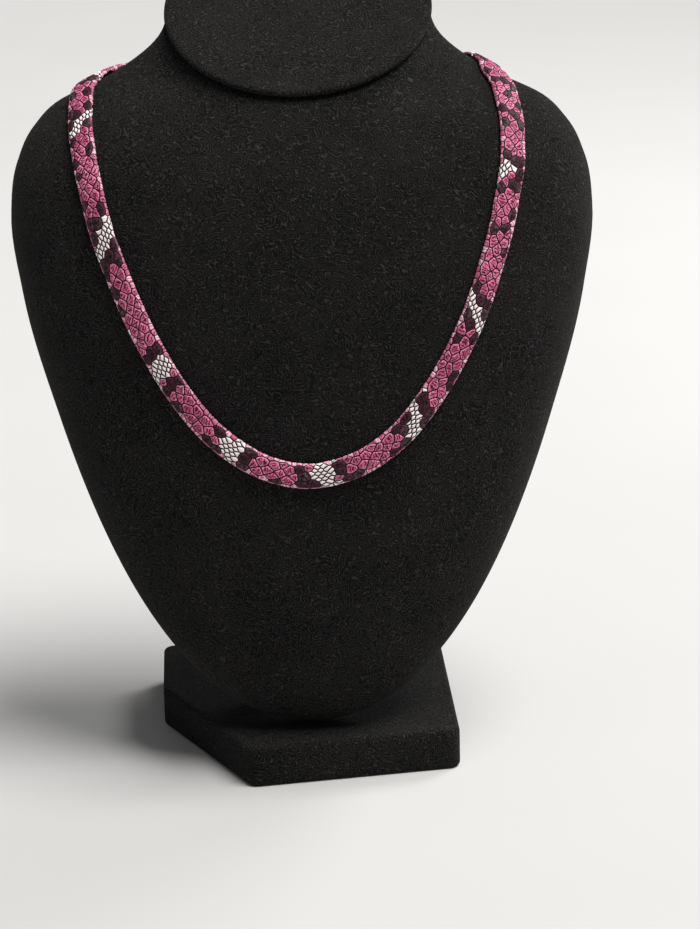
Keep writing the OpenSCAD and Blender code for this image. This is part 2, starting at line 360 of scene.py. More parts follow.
def body_point(angle, ring):
    """Place of the ball's vertex at this angle on this ring, counted from the lower pole."""
    # The torso's rings lie closer together at the tip, and the neck's fan out to the top
    i = share_done(ring, 0, TORSO_RINGS)
    low_rise = np.maximum(FAN_LOW * i * i * (3 - i) / 2, TIP_RISE)
    fan = share_done(ring, TORSO_RINGS, NECK_RINGS)
    turn = spread(angle, low_rise + fan * (FORM_H - FAN_LOW))
    top = top_rise(turn)
    point = skin(turn, low_rise + fan * (top - RIM_R - FAN_LOW))
    # The rim's rings turn a quarter from the side to the slanted top
    centre, upright = np.array([0.0, 0.0, FORM_H]), np.array([0.0, 0.0, 1.0])
    edge = skin(turn, top)
    inward = centre - edge
    inward /= np.linalg.norm(inward, axis=-1, keepdims=True)
    quarter = share_done(ring, TORSO_RINGS + NECK_RINGS, RIM_RINGS)[..., None] * math.pi / 2
    rounded = (edge - RIM_R * upright + RIM_R * inward
               - RIM_R * inward * np.cos(quarter) + RIM_R * upright * np.sin(quarter))
    point = np.where((ring > TORSO_RINGS + NECK_RINGS)[..., None], rounded, point)
    # The last rings close the top
    flat = share_done(ring, BODY_RINGS - TOP_RINGS, TOP_RINGS)[..., None]
    return point * (1 - flat) + centre * flat


print("rings", BODY_RINGS, "of", BODY_SIDES, "points")


# %% [markdown]
# The ball's vertices know their ring by their height, and their angle by their place
# round the ball. Both stay exact, because the ball has one ring for each ring asked for.

# %% Push the ball out to the body
bm = bmesh.new()
bmesh.ops.create_uvsphere(bm, u_segments=BODY_SIDES, v_segments=BODY_RINGS, radius=1)
ball = vertex_places(bm)
ball_angle = np.arctan2(ball[:, 0], -ball[:, 1])
ball_ring = np.round(np.arccos(np.clip(-ball[:, 2], -1, 1)) / math.pi * BODY_RINGS)
place_vertices(bm, lean_back(body_point(ball_angle, ball_ring)))
body = finish_piece(bm, "bust_body", form_velvet, "form")

# %% [markdown]
# The post stands in a blind hole in the body. A drill is a cylinder taken away from the
# body, which is what a Boolean modifier does. It is applied at once, so that the body is
# plain mesh with its hole.

# %% Drill the hole for the post
POST_R, POST_TOP, POST_CLEARANCE = 0.007, 0.090, 0.0001
hole_r, hole_top = POST_R + POST_CLEARANCE, POST_TOP + POST_CLEARANCE
drill_bm = bmesh.new()
bmesh.ops.create_cone(drill_bm, cap_ends=True, segments=64, radius1=hole_r,
                      radius2=hole_r, depth=hole_top)
bmesh.ops.translate(drill_bm, verts=drill_bm.verts, vec=(0, 0, hole_top / 2))
drill_mesh = bpy.data.meshes.new("drill")
drill_bm.to_mesh(drill_mesh)
drill_bm.free()
drill = bpy.data.objects.new("drill", drill_mesh)
bpy.context.scene.collection.objects.link(drill)
cut = body.modifiers.new("hole", "BOOLEAN")
cut.operation, cut.solver, cut.object = "DIFFERENCE", "EXACT", drill
depsgraph = bpy.context.evaluated_depsgraph_get()
drilled = bpy.data.meshes.new_from_object(body.evaluated_get(depsgraph))
body.modifiers.clear()
body.data = drilled
bpy.data.objects.remove(drill)
print("body with hole", len(body.data.polygons), "faces")

# %% [markdown]
# ## The cap on the neck
# A thin disc closes the slanted top of the neck, with a soft round rim and a shadow line
# under it. It is a turned shape, so its half profile is spun round its axis, and then
# laid on the slanted top.

# %% Spin the cap
CAP_LIP, CAP_T, CAP_GROOVE, CAP_LIFT = 0.0014, 0.0024, 0.001, 0.0001
CAP_STEPS, RIM_STEPS = 144, 10
rim_r = CAP_T / 2
rim_middle = NECK_R + CAP_LIP - rim_r
foot_r = NECK_R - CAP_LIP
cap_profile = [(0, 0), (foot_r * 0.5, 0), (foot_r, 0), (foot_r, CAP_GROOVE),
               (rim_middle, CAP_GROOVE)]
cap_profile += [(rim_middle + rim_r * math.sin(a), CAP_GROOVE + rim_r * (1 - math.cos(a)))
                for a in np.linspace(0, math.pi, RIM_STEPS + 1)[1:]]
cap_profile += [(rim_middle * share, CAP_GROOVE + CAP_T)
                for share in (0.97, 0.8, 0.6, 0.4, 0.2, 0)]
bm = bmesh.new()
corners = [bm.verts.new((radius, 0, height + CAP_LIFT)) for radius, height in cap_profile]
edges = [bm.edges.new(pair) for pair in zip(corners, corners[1:])]
bmesh.ops.spin(bm, geom=corners + edges, cent=(0, 0, 0), axis=(0, 0, 1),
               angle=2 * math.pi, steps=CAP_STEPS, use_merge=True)
bmesh.ops.remove_doubles(bm, verts=bm.verts, dist=1e-6)
bmesh.ops.rotate(bm, verts=bm.verts, cent=(0, 0, 0),
                 matrix=Matrix.Rotation(NECK_SLANT, 3, "X"))
bmesh.ops.translate(bm, verts=bm.verts, vec=(0, 0, FORM_H))
place_vertices(bm, lean_back(vertex_places(bm)))
finish_piece(bm, "neck_top", cap_velvet, "neck_cap")

# %% [markdown]
# ## The base block
# The block is a slab with five corners, wrapped in the same velvet, so every edge is
# soft. A circle made by an operator has eight points for each corner, and each eight are
# laid on that corner's own small arc. The outline is extruded to the block's height, and
# a bevel softens both rims.

# %% Outline, extrusion and bevel of the block
BASE_W, BASE_DEPTH, BASE_H, CORNER_R, EDGE_SOFT = 0.114, 0.108, 0.015, 0.004, 0.0018
BASE_CORNERS = [
    # across, back, as shares of the width and the depth
    (-0.180, -0.50), (0.455, -0.37), (0.395, 0.44), (-0.525, 0.42), (-0.495, 0.04),
]
ARC_POINTS, BEVEL_STEPS = 8, 6
arc_middles = [Vector((across * (BASE_W - 2 * CORNER_R), back * (BASE_DEPTH - 2 * CORNER_R)))
               for across, back in BASE_CORNERS]


def block_corner(number):
    """Point of the block's outline: arcs round the middles, counted anticlockwise."""
    corner, step = divmod(number, ARC_POINTS)
    before, here, after = (arc_middles[(corner + k) % len(arc_middles)] for k in (-1, 0, 1))
    start, end = ((b - a).to_3d().cross(Vector((0, 0, 1)))
                  for a, b in ((before, here), (here, after)))
    start, end = math.atan2(start.y, start.x), math.atan2(end.y, end.x)
    turn = (end - start) % (2 * math.pi)
    angle = start + turn * step / (ARC_POINTS - 1)
    return (here.x + CORNER_R * math.cos(angle), here.y + CORNER_R * math.sin(angle), 0)


bm = bmesh.new()
ring = bmesh.ops.create_circle(bm, cap_ends=True, radius=1,
                               segments=ARC_POINTS * len(BASE_CORNERS))["verts"]
ring.sort(key=lambda v: math.atan2(v.co.y, v.co.x))
for number, vertex in enumerate(ring):
    vertex.co = block_corner(number)
raised = bmesh.ops.extrude_face_region(bm, geom=bm.faces[:])["geom"]
bmesh.ops.translate(bm, verts=[v for v in raised if isinstance(v, bmesh.types.BMVert)],
                    vec=(0, 0, BASE_H))
rims = [e for e in bm.edges if abs(e.verts[0].co.z - e.verts[1].co.z) < 1e-6]
bmesh.ops.bevel(bm, geom=rims, offset=EDGE_SOFT, segments=BEVEL_STEPS, profile=0.5,
                affect="EDGES", material=-1)
finish_piece(bm, "base_block", base_velvet, "base")

# %% [markdown]
# ## The post
# The post keeps its CAD shape. It is a steel rod, brushed round its girth, so its fine
# scratches are noise squeezed flat: long round the rod and short along it.

# %% Brushed steel for the post
r = Recipe("brushed_steel")
scratch = r.noise(r.scaled_point((60.0, 60.0, 9000.0)), 1.0, 3.0, 0.6)
r.set(Base_Color=r.mix(scratch, rgb(0.42, 0.42, 0.43), rgb(0.58, 0.58, 0.59)), Metallic=1.0,
      Roughness=r.remap(scratch, 0.2, 0.8, 0.24, 0.42), Normal=r.bump(scratch, 0.25, 0.00005))
for post_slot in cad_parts["post"].material_slots:
    post_slot.material = r.material

# %% [markdown]
# ## The route of the band
# The band goes once round the bust. Its middle line is a table too: the turn about the
# bust's axis and the climb, with a little drift to one side, because the necklace hangs
# slightly off centre. `loop_t` turns a distance along the band into a place in the
# table, so that nothing on the band stretches.

# %% Route and laying functions
BAND_W, BAND_T, BAND_GAP = 0.0086, 0.0022, 0.00035
CLASP_ROOM = 0.001
ROUTE = [
    # turn, climb and room under the clasp, the same on both sides; drift and lift to one side
    [0, 0.3700, 0, 3.3, 0],
    [12.7, 0.3752, 0, 3.3, 0],
    [24.1, 0.3895, 0, 3.2, 0],
    [34, 0.4150, 0, 2.8, 0],
    [41.1, 0.4480, 0, 2.3, 0],
    [46.8, 0.4930, 0, 2.0, 0],
    [51.3, 0.5480, 0, 1.8, 0],
    [55.2, 0.6100, 0, 1.5, 0],
    [58.5, 0.6740, 0, 1.1, 0],
    [61.5, 0.7300, 0, 0.8, 0],
    [64.7, 0.7800, 0, 0.6, 0],
    [69.5, 0.8290, 0, 0, 0],
    [75.8, 0.8700, 0, -0.7, 0],
    [82.7, 0.8993, 0, -1.2, 0.0012],
    [90, 0.9172, 0, -2.5, 0.0020],
    [99.5, 0.9250, 0, -1.8, 0.0035],
    [113, 0.9165, 0, -0.6, 0.0020],
    [132, 0.8970, 0.2, -0.1, 0],
    [156, 0.8800, 0.8, 0, 0],
    [180, 0.8710, 1, 0, 0],
]
LAST = len(ROUTE) - 1


def route_row(i):
    """Row i of the whole loop: negative rows are the other side, and both run on past
    the middle of the back."""
    k, past = abs(i), abs(i) > LAST
    turn, climb, off, drift, lift = ROUTE[2 * LAST - k if past else k]
    turn = 360 - turn if past else turn
    lift = lift if (i < 0) == past else -lift
    return (math.radians((-turn if i < 0 else turn) + drift), (climb + lift) * FORM_H,
            BAND_GAP + off * CLASP_ROOM)


ROUTE_KEYS = np.arange(-LAST - 2, LAST + 3)
ROUTE_ROWS = np.array([route_row(i) for i in ROUTE_KEYS])
TURN_STEP, RISE_STEP, ROUTE_STEP = math.radians(0.2), 0.0002, 0.02
STATION_COUNT = 8001


def unit(vectors):
    return vectors / np.linalg.norm(vectors, axis=-1, keepdims=True)


def slopes(turn, rise):
    """How the skin's point moves with the turn and with the rise."""
    by_turn = (skin(turn + TURN_STEP, rise) - skin(turn - TURN_STEP, rise)) / (2 * TURN_STEP)
    by_rise = (skin(turn, rise + RISE_STEP) - skin(turn, rise - RISE_STEP)) / (2 * RISE_STEP)
    return by_turn, by_rise


def dot(a, b):
    return (a * b).sum(-1)


def beside(t, across, over):
    """Point beside the route: across the band along the skin, and over the velvet."""
    turn, rise, off = np.moveaxis(smooth_curve(ROUTE_KEYS, ROUTE_ROWS, t), -1, 0)
    ahead, behind = (smooth_curve(ROUTE_KEYS, ROUTE_ROWS, t + step)
                     for step in (ROUTE_STEP, -ROUTE_STEP))
    along = unit(skin(ahead[..., 0], ahead[..., 1]) - skin(behind[..., 0], behind[..., 1]))
    # The step across is solved for the turn and the rise that make it
    by_turn, by_rise = slopes(turn, rise)
    side = across[..., None] * unit(np.cross(np.cross(by_turn, by_rise), along))
    tt, tr, rr = dot(by_turn, by_turn), dot(by_turn, by_rise), dot(by_rise, by_rise)
    st, sr = dot(side, by_turn), dot(side, by_rise)
    det = tt * rr - tr * tr
    turn, rise = turn + (st * rr - sr * tr) / det, rise + (sr * tt - st * tr) / det
    normal = unit(np.cross(*slopes(turn, rise)))
    return lean_back(skin(turn, rise) + (off + over)[..., None] * normal)


stations = np.linspace(-LAST - 1, LAST + 1, STATION_COUNT)
middle_line = beside(stations, 0 * stations, 0 * stations + BAND_T / 2)
paces = np.linalg.norm(np.diff(middle_line, axis=0), axis=1)
along_band = np.concatenate([[0], np.cumsum(paces)])
along_band -= np.interp(0, stations, along_band)
LOOP = np.interp(LAST, stations, along_band) - np.interp(-LAST, stations, along_band)


def loop_t(distance):
    """Place in the table at a distance along the band, from the front of the loop."""
    return np.interp(distance, along_band, stations)


print("loop length", round(LOOP / MM, 1), "mm")

# %% [markdown]
# ## The section of the band
# The band is a flat padded strap with a domed top. Its outline is a short list of
# points, joined by the same smooth curve and read by the distance round it. Zero is the
# middle of the top, and both ends meet in a seam under the band.

# %% Outline of the section, by distance round it
BAND_SECTION = np.array([
    # across, over: from the middle of the underside round by -X to the same point
    [0.00, 0.00], [-0.45, 0.00], [-0.92, 0.04], [-1.00, 0.35], [-0.93, 0.72], [-0.66, 0.93],
    [-0.25, 1.00], [0.25, 1.00], [0.66, 0.93], [0.93, 0.72], [1.00, 0.35], [0.92, 0.04],
    [0.45, 0.00], [0.00, 0.00],
])
OUTLINE_STEP = 0.00005


def outline_at(distance, outside=0.0):
    """Across and over of the outline, and its outward direction, at a distance round it."""
    share = BAND_SECTION * (BAND_W / 2, BAND_T)
    run = np.concatenate([[0], np.cumsum(np.linalg.norm(np.diff(share, axis=0), axis=1))])
    run -= run[-1] / 2
    point = smooth_curve(run, BAND_SECTION, distance)
    after, before = (smooth_curve(run, share, np.clip(distance + step, run[0], run[-1]))
                     for step in (OUTLINE_STEP, -OUTLINE_STEP))
    tangent = after - before
    outward = unit(np.stack([-tangent[..., 1], tangent[..., 0]], -1))
    across = point[..., 0] * (BAND_W / 2 + outside)
    over = point[..., 1] * (BAND_T + 2 * outside) - outside
    return across, over, outward, run[-1] - run[0]


GIRTH = outline_at(np.zeros(1))[3]
print("girth of the band", round(GIRTH / MM, 2), "mm")


def wrap(flat, outside=0.0):
    """Bends flat points (along, round, height) onto the band."""
    across, over, outward, _ = outline_at(flat[:, 1], outside)
    return beside(loop_t(flat[:, 0]), across + flat[:, 2] * outward[:, 0],
                  over + flat[:, 2] * outward[:, 1])


# %% [markdown]
# ## Where the scales grow
# The real band is cut from printed snakeskin and wrapped round a padded core. So it is
# made the same way: the pattern is laid out on a flat sheet and wrapped afterwards. The
# print repeats: a pale saddle of small scales lies across the band every few
# centimetres, dark round scales stand beside it, and a field of pink scales fills the
# rest. Each saddle is a leaning patch below, and some have a tail beside it. The dark
# scales along both edges and the middle are lists of distances from the front of the
# loop.

# %% Chart of the print, in mm on the flat sheet
PINK, DARK, PALE, BLUSH = 0, 1, 2, 3
SADDLES = [
    # along, round, half along, half round, lean
    (-264, 0, 2.6, 12, -0.8), (-229, 0, 2.4, 12, 0.7), (-187, 0, 1.9, 12, 1.1),
    (-154, 0, 2.8, 11, -1.15), (-111.4, 0.5, 3.7, 13, -0.95), (-64.2, 0.8, 4.3, 5.2, -0.1),
    (-27.2, 0, 2.4, 13, 0), (4.7, 0.4, 4.3, 5.2, 0), (40.8, -0.7, 3.1, 12, 0.95),
    (82.2, -0.9, 2.9, 12, 1.15), (132.8, 3.2, 3.6, 4.2, -0.2), (196, 0, 2.4, 12, -0.9),
    (222, 0, 2.4, 12, 0.7), (252, 0, 2.3, 12, 0.8),
]
TAILS = [
    (-116.5, 4.0, 2.2, 2.6, -0.3), (-61.3, -4, 1.7, 3, -0.4), (-30.6, 0.3, 2.6, 3, 0),
    (5, -4, 1.8, 3.4, 0), (9.6, -4.2, 1.3, 2, 0), (80.4, -4.2, 3.6, 2.6, 0),
    (38, -4.6, 3, 2.4, 0), (10.2, 4.6, 1.2, 1.2, 0), (-80, -4.2, 1.4, 1.8, 0),
    (52, 4.5, 1.2, 1.1, 0),
]
LOWER_DARKS = [-178, -170, -160, -148, -139, -134.5, -124, -118, -99.5, -93, -87, -69, -57, -51,
               -36, -32, -22, -11, -2, 12.5, 16, 30, 46, 57, 62, 75, 87, 105.5, 118, 127, 137,
               150, 158, 167, 183, 186, 211, 234, 241, 262, -176, -202, -218, -240, -252]
UPPER_DARKS = [-170, -144, -121, -104, -70.5, -57.5, -35, -22, -3, 11.5, 35, 47, 73, 81.5, 91.5,
               112.5, 126.5, 138.5, 151, 156.5, 172, 177.5, 186, 206, 236, 246, -200, -222, -236]
MIDDLE_DARKS = [-159, -149.5, 113.5, 128.5, 136, 154, 163.5, 170, -177]
DARK_ROWS = [
    # distances along, how far round the row lies
    (LOWER_DARKS, -3.0), (UPPER_DARKS, 2.8), (MIDDLE_DARKS, -0.3),
]
print("saddles", len(SADDLES), "tails", len(TAILS), "dark scales",
      sum(len(row) for row, _ in DARK_ROWS))

# %% [markdown]
# Seeds are set in order of importance: pale ones in a fine diamond lattice, dark ones
# from the chart and on both sides of each saddle, and narrow ones along the two edges.
# Pink ones come last, in a looser lattice that is shaken a little, and then wherever
# there is still room. A seed is refused when it would crowd one that is already there.
# Chance starts from a fixed number, so the scales are the same each time.

# %% Set the seeds
CLASP_LEN, CLASP_GRIP, CLASP_CLEARANCE = 0.020, 0.005, 0.0002
BAND_END = LOOP / 2 - (CLASP_LEN / 2 - CLASP_GRIP + CLASP_CLEARANCE)
HALF_LONG, HALF_ROUND = BAND_END / MM, GIRTH / 2 / MM
END_MARGIN, EDGE_MARGIN, STRETCH, BUCKET = 0.6, 0.5, 1.35, 5
PALE_STEP, PINK_STEP = (1.08, 1.06), (2.4, 1.75)
LATTICE_REACH, TOP_AND_SIDES = 5.6, 6.6
BESIDE_SADDLE, BESIDE_AT = 2.2, (0.3, -3.2, 3.2)
EDGE_ROWS = [
    # round, step along, share of blushed scales among the pink ones
    (-4.1, 1.7, 0.80), (4.7, 2.2, 0.55),
]
TOP_DARTS, WIDE_DARTS, NARROW_DARTS = 26000, 3000, 1000
chance = random.Random(7)
seeds, buckets = [], {}


def patch_share(patch, along, round_):
    """0 in the middle of a patch and 1 on its border."""
    middle, level, half_along, half_round, lean = patch
    return (abs(along - middle - lean * (round_ - level)) / half_along
            + abs(round_ - level) / half_round)


def seed_scale(along, round_, kind, radius, room):
    """Adds a seed if it keeps its distance from all others. Less room lets it crowd them."""
    if abs(along) > HALF_LONG - END_MARGIN or abs(round_) > HALF_ROUND - EDGE_MARGIN:
        return
    key = (int(along // BUCKET), int(round_ // BUCKET))
    near = [seeds[i] for x in (-1, 0, 1) for y in (-1, 0, 1)
            for i in buckets.get((key[0] + x, key[1] + y), ())]
    if any(math.hypot(along - a, (round_ - r) * STRETCH) < room * (radius + other)
           for a, r, other, _ in near):
        return
    buckets.setdefault(key, []).append(len(seeds))
    seeds.append((along, round_, radius, kind))


def wobble(size):
    """A small shift by chance."""
    return chance.uniform(-size, size)


def lattice(steps):
    """Points of a diamond lattice over the top and sides of the sheet."""
    columns, rows = int(HALF_LONG / steps[0]), int(LATTICE_REACH / steps[1])
    for i in range(-columns, columns):
        for j in range(-rows, rows + 1):
            if (i + j) % 2 == 0:
                yield i * steps[0], j * steps[1]


for along, round_ in lattice(PALE_STEP):
    if min(patch_share(p, along, round_) for p in SADDLES + TAILS) < 1:
        seed_scale(along + wobble(0.1), round_ + wobble(0.1), PALE, radius=0.74, room=0.8)
for row, middle in DARK_ROWS:
    for along in row:
        seed_scale(along + wobble(0.4), middle + wobble(0.4), DARK, radius=1.8, room=0.72)
for middle, level, half_along, half_round, lean in SADDLES:
    for side in (-1, 1):
        for round_ in BESIDE_AT:
            share = max(0, 1 - abs(round_ - level) / half_round)
            along = (middle + lean * (round_ - level)
                     + side * (half_along * share + BESIDE_SADDLE + wobble(0.3)))
            seed_scale(along, round_ + wobble(0.4), DARK, radius=2.15, room=0.72)
for edge, step, blush_share in EDGE_ROWS:
    for i in range(int(2 * HALF_LONG / step)):
        seed_scale(-HALF_LONG + step * (i + 0.5) + wobble(0.25), edge + wobble(0.25),
                   BLUSH if chance.random() < blush_share else PINK, radius=1.05, room=0.74)
for along, round_ in lattice(PINK_STEP):
    seed_scale(along + wobble(0.4), round_ + wobble(0.3), PINK,
               radius=chance.choice((1.6, 1.95, 2.2)), room=0.66)
for _ in range(TOP_DARTS):
    along = chance.uniform(-HALF_LONG, HALF_LONG)
    round_ = chance.uniform(-TOP_AND_SIDES, TOP_AND_SIDES)
    seed_scale(along, round_, PINK, radius=chance.choice((1.5, 1.95, 2.3)), room=0.84)
for radius in [2.6] * WIDE_DARTS + [1.75] * NARROW_DARTS:
    along = chance.uniform(-HALF_LONG, HALF_LONG)
    round_ = chance.uniform(-HALF_ROUND, HALF_ROUND)
    seed_scale(along, round_, PINK, radius=radius, room=0.9)
print("seeds", len(seeds), "pale, dark:", [sum(s[3] == k for s in seeds) for k in (PALE, DARK)])

# %% [markdown]
# ## Scales that push against each other
# Scales grow until they meet. So each starts as a square round its seed, and is cut by a
# line towards every neighbour, with the line nearer to the smaller of the two. The cells
# fit together without gaps, and once their corners are merged they are one sheet. All
# this happens on a sheet stretched across the band. It is scaled back afterwards, which
# leaves the scales longer than they are wide.

# %% Cut the cells and join them
REACH, SAME_PLACE, SHORTEST = 8.0, 0.02, 0.12  # all in mm
finder = KDTree(len(seeds))
for number, (along, round_, _, _) in enumerate(seeds):
    finder.insert((along, round_ * STRETCH, 0), number)
finder.balance()


def cut(cell, point, direction):
    """Cuts off the part of the cell that lies past a line."""
    if max((v.co - point).dot(direction) for v in cell.verts) > 0:
        bmesh.ops.bisect_plane(cell, geom=cell.verts[:] + cell.edges[:] + cell.faces[:],
                               plane_co=point, plane_no=direction, clear_outer=True)


sheet = bmesh.new()
kind_layer = sheet.faces.layers.float.new("kind")
cell_mesh = bpy.data.meshes.new("cell")
for number, (along, round_, radius, kind) in enumerate(seeds):
    here = Vector((along, round_ * STRETCH, 0))
    cell = bmesh.new()
    cell_kind = cell.faces.layers.float.new("kind")
    bmesh.ops.create_grid(cell, x_segments=1, y_segments=1, size=REACH / 2,
                          matrix=Matrix.Translation(here))
    neighbours = sorted(finder.find_range(here, REACH), key=lambda found: found[2])[1:]
    for place, other, distance in neighbours:
        towards = (place - here) / distance
        border = distance / 2 + (radius ** 2 - seeds[other][2] ** 2) / (2 * distance)
        cut(cell, here + towards * border, towards)
    for limit in (Vector((HALF_LONG, 0, 0)), Vector((0, HALF_ROUND * STRETCH, 0))):
        cut(cell, limit, limit.normalized())
        cut(cell, -limit, -limit.normalized())
    for face in cell.faces:
        face[cell_kind] = kind
    cell.to_mesh(cell_mesh)
    cell.free()
    sheet.from_mesh(cell_mesh)
bpy.data.meshes.remove(cell_mesh)
bmesh.ops.scale(sheet, vec=(1, 1 / STRETCH, 1), verts=sheet.verts)
bmesh.ops.remove_doubles(sheet, verts=sheet.verts, dist=SAME_PLACE)
bmesh.ops.dissolve_degenerate(sheet, dist=SHORTEST, edges=sheet.edges)
print("cells", len(sheet.faces), "open edges", sum(e.is_boundary for e in sheet.edges))

# %% [markdown]
# The borders are halved until each piece is short, and then smoothed, so that the
# corners of the scales grow round and the long edges get a little life. The seam along
# the underside and the two ends keep their places.

# %% Round the borders
LONGEST_PIECES, SMOOTHING = (1.8, 0.95), 0.3
for length in LONGEST_PIECES:
    bmesh.ops.bisect_edges(sheet, edges=[e for e in sheet.edges if e.calc_length() > length],
                           cuts=1)
bmesh.ops.smooth_vert(sheet, verts=[v for v in sheet.verts if not v.is_boundary],
                      factor=SMOOTHING, use_axis_x=True, use_axis_y=True)
kind_layer = sheet.faces.layers.float["kind"]
tint_layer = sheet.faces.layers.float.new("tint")
for face in sheet.faces:
    face[tint_layer] = chance.random()
print("border pieces", len(sheet.edges))

# %% [markdown]
# ## Embossing the scales
# Each scale is a little pillow between grooves. Insets make it: the first leaves the
# groove's floor, the second climbs its side, the third rounds its shoulder, and a point
# in the middle gives it a crown. Tiny scales get smaller insets. The vertices remember
# how high they are on the scale, which the material reads to darken the grooves and to
# paint a highlight along the rims. Scales under the band are left flat.

# %% Emboss the scales
EMBOSS = [
    # kind, area in square mm under which a scale is tiny, widths of the three insets in mm
    (PINK, 1.8, (0.13, 0.18, 0.32)),
    (DARK, 1.8, (0.12, 0.20, 0.40)),
    (PALE, 0.7, (0.20, 0.13, 0.12)),
    (BLUSH, 1.8, (0.10, 0.13, 0.18)),
]
DEPTHS, CROWN, TINY_SHARE = (0.0, 0.15, 0.06), 0.03, 0.55
CROWN_LEVEL, PLAIN_LEVEL = 3, 1.5
level_layer = sheet.verts.layers.float.new("level")
relief = [f for f in sheet.faces if abs(f.calc_center_median().y) < TOP_AND_SIDES]
plain = [f for f in sheet.faces if abs(f.calc_center_median().y) >= TOP_AND_SIDES]
for kind, tiny_area, widths in EMBOSS:
    of_kind = [(f, f.calc_area() < tiny_area) for f in relief if f[kind_layer] == kind]
    for share, is_tiny in ((1.0, False), (TINY_SHARE, True)):
        group = [f for f, tiny in of_kind if tiny == is_tiny]
        for level, (width, depth) in enumerate(zip(widths, DEPTHS)):
            bmesh.ops.inset_individual(sheet, faces=group, thickness=width * share,
                                       depth=depth * share, use_even_offset=False)
            ring = {v for f in group for v in f.verts}
            for vertex in ring:
                vertex[level_layer] = level
            if level == 0 and kind in (PINK, DARK):
                bmesh.ops.smooth_vert(sheet, verts=list(ring), factor=SMOOTHING,
                                      use_axis_x=True, use_axis_y=True)
for vertex in bmesh.ops.poke(sheet, faces=relief, offset=CROWN)["verts"]:
    vertex[level_layer] = CROWN_LEVEL
for vertex in bmesh.ops.poke(sheet, faces=plain)["verts"]:
    vertex[level_layer] = PLAIN_LEVEL
print("embossed faces", len(sheet.faces))

# %% [markdown]
# ## Printed snakeskin
# The print lies on a supple leather with a low shine. It needs a few patterns first:
# mottling within a scale, a fine grain over the whole sheet, a slow drift from lighter
# to darker lengths of it, and the striae, fine lines across the band like a fingerprint.
# Each scale has its own part of the mottling and its own lean of the lines, by the
# chance number that it carries.

# %% Patterns of the snakeskin
STRIA_PITCH = 1.10
r = Recipe("printed_snakeskin")
flat_mm = r.node("UVMap", uv_map="flat")
kind_of, tint_of, level_in = r.attribute("kind"), r.attribute("tint"), r.attribute("level")


def is_kind(number):
    return r.math("COMPARE", kind_of, float(number), 0.4)


shift = r.node("CombineXYZ", r.math("MULTIPLY", tint_of, 60.0),
               r.math("MULTIPLY", tint_of, 23.0))
scale_point = r.node("VectorMath", flat_mm, shift, operation="ADD")
mottle = r.noise(scale_point, 0.9, 3.0, 0.6)
grain = r.noise(flat_mm, 5.0, 3.0, 0.65)
parts = r.node("SeparateXYZ", flat_mm)
along_mm, round_mm = parts, parts.node.outputs[1]
lean = r.math("MULTIPLY", r.math("SUBTRACT", tint_of, 0.5), 1.8)
run = r.math("ADD", along_mm, r.math("MULTIPLY", round_mm, lean))
run = r.math("ADD", run, r.math("MULTIPLY", r.noise(scale_point, 0.5, 2.0), 3.6))
wave = r.math("SINE", r.math("MULTIPLY", run, 2 * math.pi / STRIA_PITCH))
striae = r.math("MULTIPLY_ADD", wave, 0.5, 0.5)
striae = r.math("MULTIPLY", r.remap(striae, 0.30, 0.62), r.remap(mottle, 0.20, 0.50, 0.45, 1.0))
drift = r.remap(r.noise(flat_mm, 0.035, 1.0), 0.35, 0.65)
print("nodes for the patterns", len(r.nodes))

# %% [markdown]
# Every scale takes its colour from the chart, and a little from chance. Pink ones have
# the strongest lines and a painted highlight along the rim of each scale. Dark ones have
# both too, but fainter. The narrow ones along the edges are blushed white.

# %% Colours of the scales
pink = r.mix(tint_of, rgb(0.042, 0.004, 0.012), rgb(0.115, 0.012, 0.036))
lines = r.mix(drift, rgb(0.640, 0.110, 0.255), rgb(0.980, 0.240, 0.440))
pink = r.mix(striae, pink, lines)
blotches = r.math("MULTIPLY", r.remap(mottle, 0.50, 0.70), 0.8)
pink = r.mix(blotches, pink, rgb(0.045, 0.005, 0.014))
pink = r.mix(r.remap(level_in, 1.5, 2.8, 0.0, 0.30), pink, rgb(0.085, 0.009, 0.028))
worn_dark = r.mix(r.remap(tint_of, 0.35, 0.95),
                  rgb(0.060, 0.014, 0.026), rgb(0.170, 0.100, 0.120))
dark = r.mix(r.remap(mottle, 0.42, 0.70), rgb(0.004, 0.0008, 0.0016), worn_dark)
dark = r.mix(r.math("MULTIPLY", striae, 0.50), dark, rgb(0.060, 0.026, 0.037))
white = r.mix(r.remap(mottle, 0.50, 0.90), rgb(0.980, 0.890, 0.880), rgb(0.700, 0.520, 0.550))
blush = r.mix(r.math("MULTIPLY", striae, 0.75),
              rgb(0.640, 0.190, 0.320), rgb(0.950, 0.740, 0.780))
blush = r.mix(r.remap(tint_of, 0.60, 0.90), blush, rgb(0.420, 0.080, 0.170))
# painted highlight: each scale's rim, where the groove's side meets its shoulder, is lightened
# to pale pink, and a dark scale's rim more faintly
rim = r.math("MULTIPLY", r.remap(level_in, 0.5, 1.0), r.remap(level_in, 2.2, 1.3))
rim = r.math("MULTIPLY", rim, r.remap(grain, 0.30, 0.60, 0.25, 0.90))
rim = r.math("MULTIPLY", rim, r.remap(r.noise(flat_mm, 0.45, 1.0), 0.38, 0.60, 0.30, 1.0))
colour = r.mix(rim, pink, rgb(0.960, 0.320, 0.510))
dark = r.mix(r.math("MULTIPLY", rim, 0.50), dark, rgb(0.130, 0.050, 0.072))
colour = r.mix(is_kind(DARK), colour, dark)
colour = r.mix(is_kind(PALE), colour, white)
colour = r.mix(is_kind(BLUSH), colour, blush)
print("nodes with the colours", len(r.nodes))
